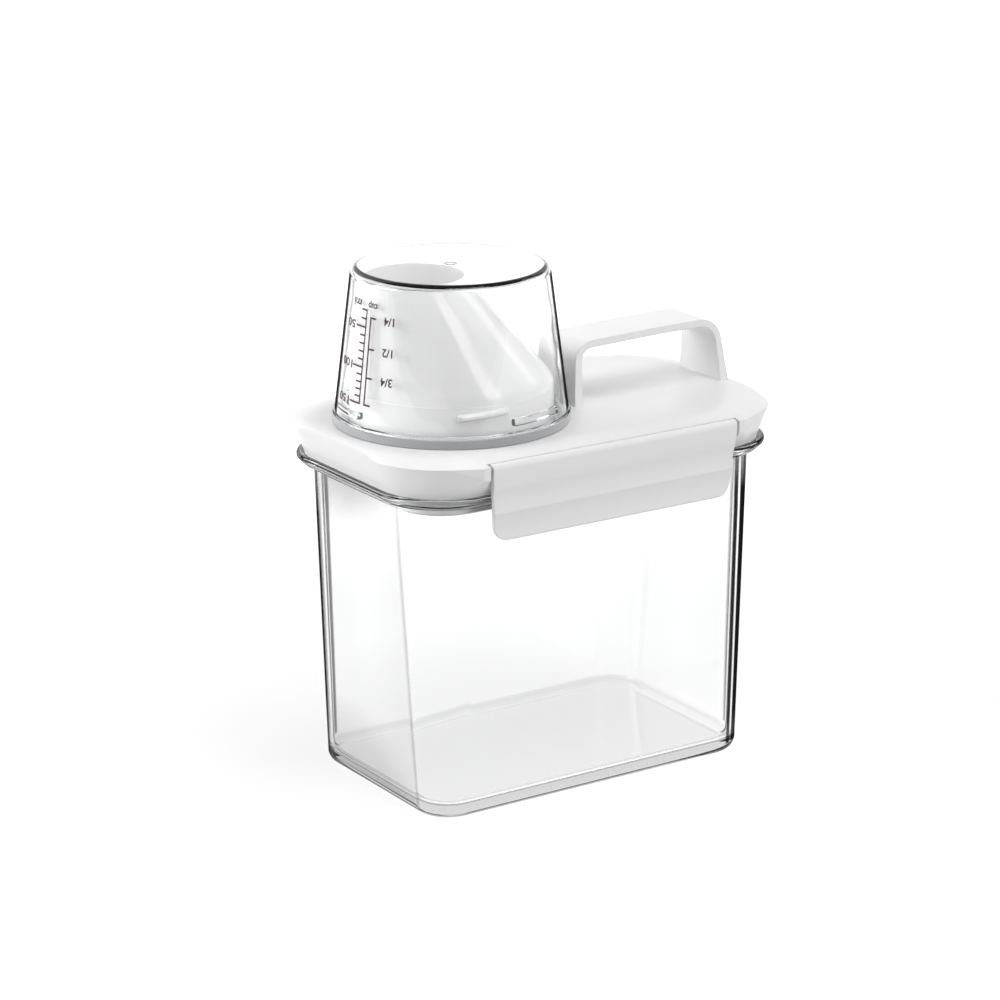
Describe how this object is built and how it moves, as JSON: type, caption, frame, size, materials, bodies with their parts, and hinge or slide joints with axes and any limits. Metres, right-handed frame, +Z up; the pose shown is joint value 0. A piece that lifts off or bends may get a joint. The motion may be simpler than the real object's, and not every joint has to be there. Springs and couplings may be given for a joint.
{
  "type": "dry food container",
  "caption": "Clear tapered dry-food box with a white gasketed lid, side latches, an arched handle, and a screw-on measuring cup that covers a slanted pouring spout",
  "frame": {"origin": "middle of the base, on the surface that the container stands on", "axes": "+X along the long side towards the handle, -Y the front, +Z up"},
  "size_m": [0.1544, 0.103, 0.18],
  "materials": {
    "clear_body": "clear glossy AS plastic",
    "clear_cup": "clear glossy AS plastic",
    "white_lid": "white semi-gloss PP",
    "white_base": "white semi-gloss PP",
    "white_spout": "white semi-gloss PP",
    "white_latch": "white semi-gloss PP",
    "gasket": "soft grey-white silicone",
    "ring": "translucent grey silicone",
    "pin": "drawn stainless wire"
  },
  "bodies": {
    "container": {"container": "clear_body"},
    "lid": {"lid_cover": "white_lid", "lid_base": "white_base", "lid_gasket": "gasket", "spout": "white_spout", "spout_seal": "gasket", "hinge_pin_front": "pin", "hinge_pin_back": "pin"},
    "latch_front": {"latch_front": "white_latch"},
    "latch_back": {"latch_back": "white_latch"},
    "ring": {"cup_seal": "ring"},
    "cup": {"cup": "clear_cup"}
  },
  "joints": [
    {"name": "lid_lift", "type": "slide", "parent": "container", "child": "lid", "axis": [0, 0, 1], "range_m": [0, 0.026]},
    {"name": "latch_front_hinge", "type": "hinge", "parent": "lid", "child": "latch_front", "pos_m": [0, -0.0497, 0.12348], "axis": [-1, 0, 0], "range_deg": [0, 105]},
    {"name": "latch_back_hinge", "type": "hinge", "parent": "lid", "child": "latch_back", "pos_m": [0, 0.0497, 0.12348], "axis": [1, 0, 0], "range_deg": [0, 105]},
    {"name": "cup_twist", "type": "hinge", "parent": "lid", "child": "ring", "pos_m": [-0.0324, 0, 0.13], "axis": [0, 0, 1], "range_deg": [-27, 0]},
    {"name": "cup_lift", "type": "slide", "parent": "ring", "child": "cup", "axis": [0, 0, 1], "range_m": [0, 0.062]}
  ],
  "couplings": [
    {"joint": "latch_front_hinge", "follows": "lid_lift", "rad_per_m": 70.4},
    {"joint": "latch_back_hinge", "follows": "lid_lift", "rad_per_m": 70.4}
  ]
}
